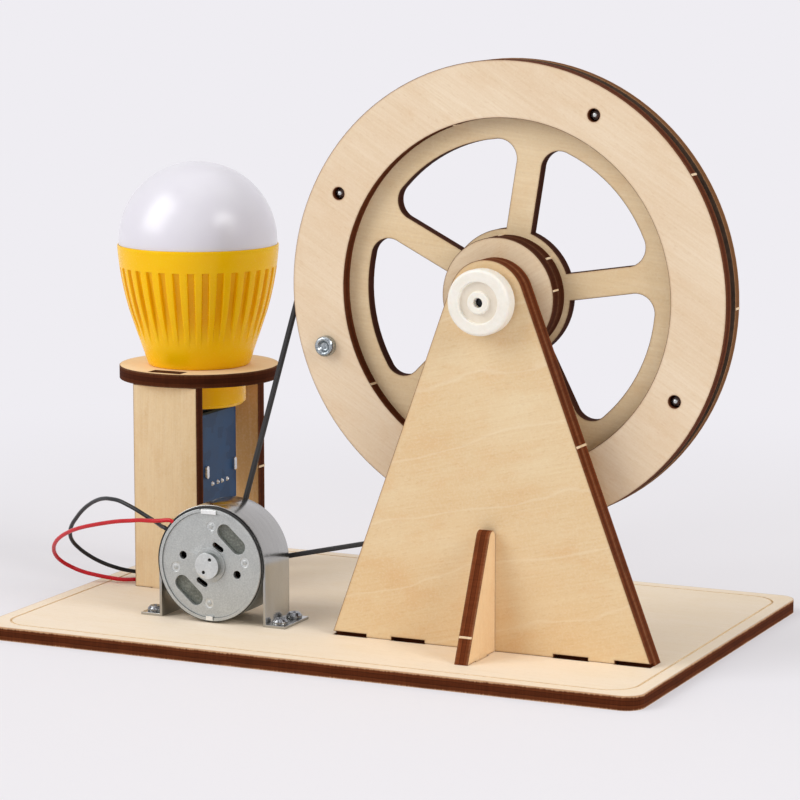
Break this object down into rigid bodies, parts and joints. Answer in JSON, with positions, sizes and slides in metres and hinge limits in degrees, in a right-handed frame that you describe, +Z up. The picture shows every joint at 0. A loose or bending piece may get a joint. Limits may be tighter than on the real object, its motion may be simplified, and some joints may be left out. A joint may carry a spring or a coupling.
{
  "type": "hand crank generator",
  "caption": "Plywood hand crank generator: a spoked wheel on a triangular stand drives a can motor through a rubber belt and lights a yellow plug-in lamp on a small stand.",
  "frame": {"origin": "centre of the base board's underside", "axes": "+X along the base from the lamp to the wheel, +Y from the front gusset to the back, +Z up"},
  "size_m": [0.1613, 0.1, 0.1238],
  "materials": {
    "plywood": "laser-cut basswood plywood, unfinished",
    "nylon": "natural nylon, satin",
    "steel": "bright zinc-plated steel",
    "zinc_plate": "zinc-plated sheet, satin",
    "nickel_plate": "nickel-plated sheet, bright",
    "belt_rubber": "black rubber, matte",
    "ferrite": "sintered ferrite, matte",
    "brass": "plain brass",
    "core_steel": "stacked sheet, dull",
    "copper_wire": "enamelled copper",
    "yellow_plastic": "moulded, semi-gloss",
    "milky_plastic": "frosted white diffuser",
    "white_board": "white solder mask",
    "led_phosphor": "yellow phosphor",
    "blue_board": "blue solder mask",
    "black_parts": "moulded, matte",
    "solder": "bright solder",
    "red_pvc": "smooth sleeve",
    "black_pvc": "smooth sleeve"
  },
  "bodies": {
    "frame": {"base_board": "plywood", "wheel_stand": "plywood", "front_gusset": "plywood", "lamp_front_panel": "plywood", "lamp_rear_panel": "plywood", "lamp_plate": "plywood", "bracket_screws": "steel", "motor_can": "zinc_plate", "motor_end_plate": "zinc_plate", "motor_bracket": "nickel_plate", "usb_plug": "nickel_plate", "usb_socket": "nickel_plate", "drive_belt": "belt_rubber", "motor_magnets": "ferrite", "motor_brushes": "brass", "motor_front_bearing": "brass", "motor_rear_bearing": "brass", "motor_terminals": "brass", "bulb_shell": "yellow_plastic", "bulb_dome": "milky_plastic", "led_board": "white_board", "led_chips": "led_phosphor", "boost_board": "blue_board", "boost_parts": "black_parts", "solder_joints": "solder", "red_wire": "red_pvc", "black_wire": "black_pvc"},
    "wheel": {"axle": "steel", "front_collar": "nylon", "rear_collar": "nylon", "wheel_front_ring": "plywood", "spoked_disc": "plywood", "wheel_back_ring": "plywood", "hub_disc_front": "plywood", "hub_disc_rear": "plywood", "wheel_screws": "steel", "crank_bolt": "steel", "crank_nut": "steel"},
    "crank": {"crank_knob": "nylon"},
    "rotor": {"motor_shaft": "steel", "armature_core": "core_steel", "armature_winding": "copper_wire", "commutator": "brass", "motor_pulley": "nylon"}
  },
  "joints": [
    {"name": "wheel_spin", "type": "hinge", "parent": "frame", "child": "wheel", "pos_m": [0.0323, -0.0232, 0.0756], "axis": [0, 1, 0], "continuous": true},
    {"name": "knob_spin", "type": "hinge", "parent": "wheel", "child": "crank", "pos_m": [-0.00804, -0.004, 0.06288], "axis": [0, 1, 0], "continuous": true},
    {"name": "rotor_spin", "type": "hinge", "parent": "frame", "child": "rotor", "pos_m": [-0.031, -0.0155, 0.0156], "axis": [0, 1, 0], "continuous": true}
  ],
  "couplings": [
    {"joint": "rotor_spin", "follows": "wheel_spin", "ratio": 19.766}
  ]
}
